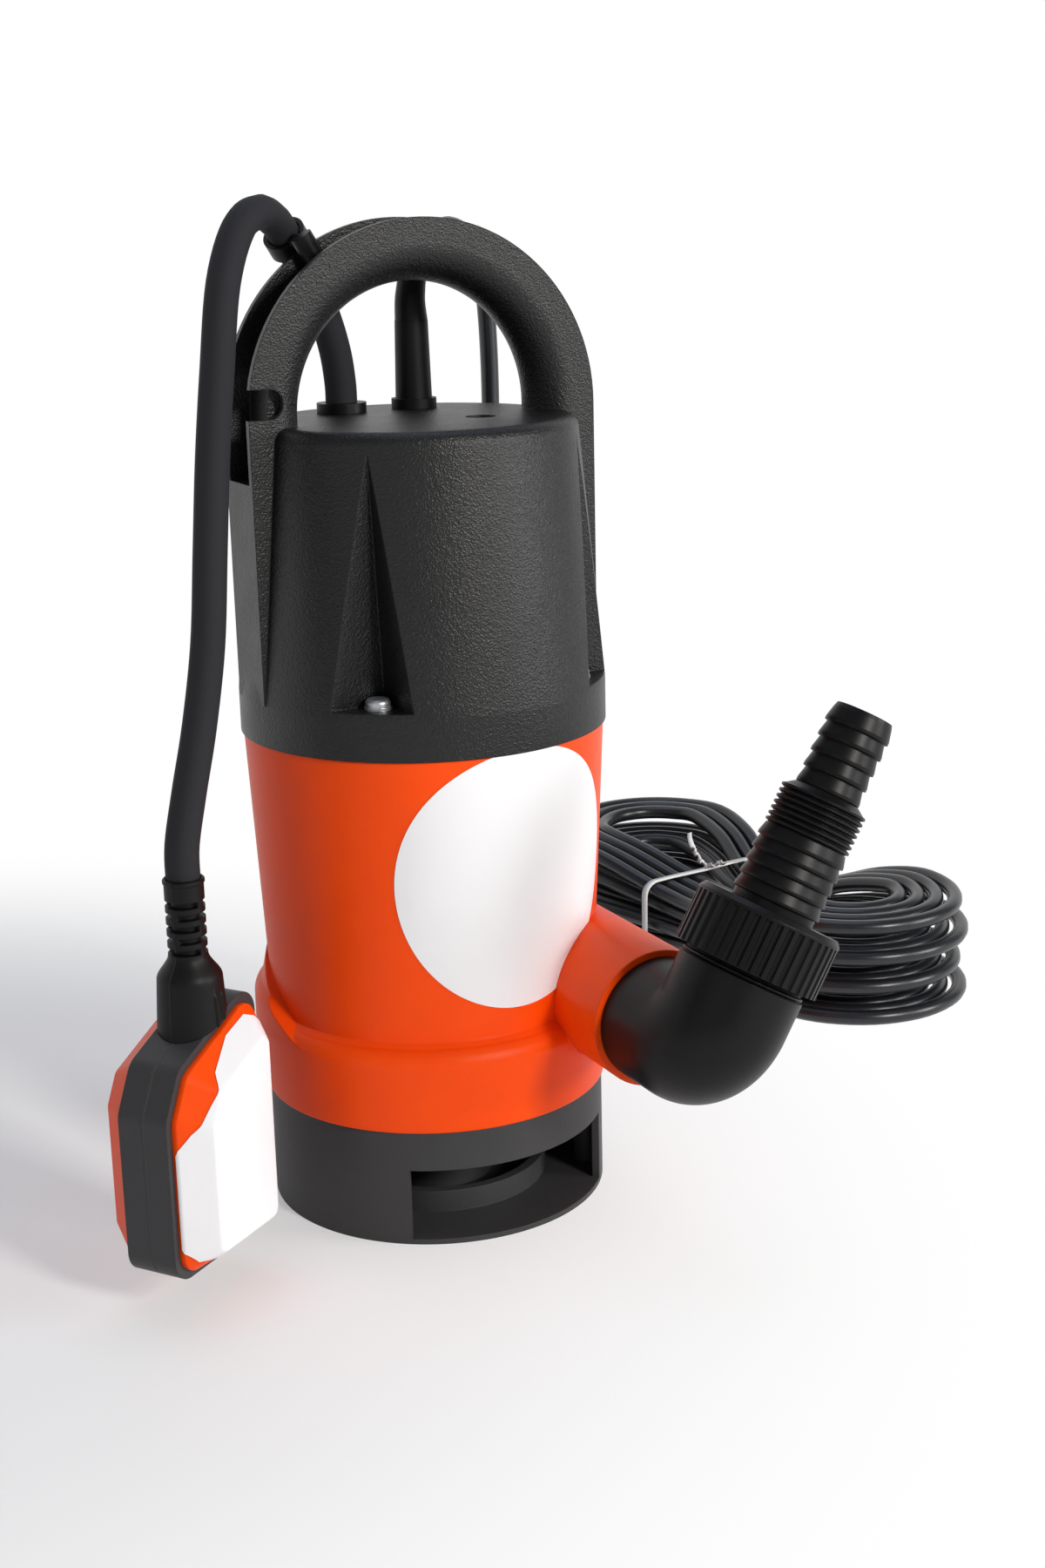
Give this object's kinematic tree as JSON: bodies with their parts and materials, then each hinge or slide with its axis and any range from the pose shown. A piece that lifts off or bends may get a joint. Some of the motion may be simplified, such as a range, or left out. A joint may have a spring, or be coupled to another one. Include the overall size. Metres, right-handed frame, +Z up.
{
  "type": "submersible sump pump",
  "caption": "Orange and black submersible dirty-water pump with a carrying handle, float switch, hose elbow with stepped adapter and a tied hank of mains cord",
  "frame": {"origin": "middle of the underside of the suction base, on the motor axis", "axes": "+Z up along the motor axis, handle along X with the float on the -X side, outlet toward -Y"},
  "size_m": [0.4827, 0.4714, 0.3947],
  "materials": {
    "black_grained_plastic": "spark-grained black polypropylene",
    "black_plain_plastic": "plain black polypropylene",
    "orange_plastic": "semi-gloss orange polypropylene",
    "stainless_steel": "turned stainless steel",
    "bearing_steel": "ground and polished bearing steel",
    "seal_rubber": "moulded nitrile rubber",
    "cord_rubber": "rubber cord sheath with a dull sheen",
    "lamination_steel": "stacked electrical steel",
    "copper_winding": "lacquered copper wire",
    "cast_aluminium": "die-cast aluminium",
    "ceramic": "fired ceramic and carbon seal faces",
    "pale_plastic": "pale moulded plastic",
    "red_plastic": "red acetal",
    "white_tie": "white twist tie"
  },
  "bodies": {
    "pump": {"top_cover": "black_grained_plastic", "cover_screws": "stainless_steel", "cover_washers": "stainless_steel", "cover_oring": "seal_rubber", "pump_housing": "orange_plastic", "suction_base": "black_grained_plastic", "base_screws": "stainless_steel", "suction_plate": "black_plain_plastic", "plate_gasket": "seal_rubber", "plate_screws": "stainless_steel", "stator_core": "lamination_steel", "stator_windings": "copper_winding", "motor_can": "stainless_steel", "lower_end_shield": "cast_aluminium", "upper_end_shield": "cast_aluminium", "lower_bearing_outer": "bearing_steel", "lower_bearing_balls": "bearing_steel", "upper_bearing_outer": "bearing_steel", "upper_bearing_balls": "bearing_steel", "seal_seat": "ceramic", "lip_seal": "seal_rubber", "capacitor": "pale_plastic", "capacitor_clip": "stainless_steel", "terminal_block": "pale_plastic", "mains_gland": "seal_rubber", "float_gland": "black_plain_plastic", "cable_clip": "black_plain_plastic", "elbow_gasket": "seal_rubber", "float_cable_fixed": "cord_rubber", "mains_cord": "cord_rubber", "mains_hank": "cord_rubber", "hank_tie": "white_tie", "plug_lead": "cord_rubber", "plug_body": "seal_rubber", "plug_pins": "stainless_steel"},
    "rotor": {"impeller": "black_plain_plastic", "impeller_nut": "stainless_steel", "shaft": "stainless_steel", "rotor_core": "lamination_steel", "rotor_rings": "cast_aluminium", "lower_bearing_inner": "bearing_steel", "upper_bearing_inner": "bearing_steel", "seal_ring": "ceramic", "seal_spring": "stainless_steel"},
    "elbow": {"outlet_elbow": "black_plain_plastic", "adapter_gasket": "seal_rubber"},
    "adapter": {"hose_adapter": "black_plain_plastic"},
    "nut": {"union_nut": "black_plain_plastic"},
    "float": {"float_shell_front": "orange_plastic", "float_shell_rear": "orange_plastic", "float_band": "black_plain_plastic", "float_boot": "seal_rubber", "ball_guide": "pale_plastic", "microswitch": "black_plain_plastic", "float_cable": "cord_rubber"},
    "ball": {"float_ball": "bearing_steel"},
    "plunger": {"switch_plunger": "red_plastic"}
  },
  "joints": [
    {"name": "rotor_spin", "type": "hinge", "parent": "pump", "child": "rotor", "pos_m": [0, 0, 0.15], "axis": [0, 0, 1], "continuous": true},
    {"name": "elbow_turn", "type": "hinge", "parent": "pump", "child": "elbow", "pos_m": [0.0505, -0.085, 0.089], "axis": [0, 1, 0], "range_deg": [-60, 45]},
    {"name": "adapter_lift", "type": "slide", "parent": "elbow", "child": "adapter", "axis": [0.5, 0, 0.866], "range_m": [0, 0.0092]},
    {"name": "nut_turn", "type": "hinge", "parent": "adapter", "child": "nut", "pos_m": [0.07275, -0.13, 0.12754], "axis": [0.5, 0, 0.866], "range_deg": [0, 1440]},
    {"name": "float_swing", "type": "hinge", "parent": "pump", "child": "float", "pos_m": [-0.046, 0.017, 0.3855], "axis": [-0.6743, 0.7385, 0], "range_deg": [0, 90]},
    {"name": "ball_roll", "type": "slide", "parent": "float", "child": "ball", "axis": [0, 0, 1], "range_m": [0, 0.012]},
    {"name": "plunger_press", "type": "slide", "parent": "float", "child": "plunger", "axis": [0, 0, 1], "range_m": [0, 0.0015]}
  ],
  "couplings": [
    {"joint": "adapter_lift", "follows": "nut_turn", "m_per_rad": 0.00036606},
    {"joint": "plunger_press", "follows": "ball_roll", "ratio": 0.125}
  ]
}
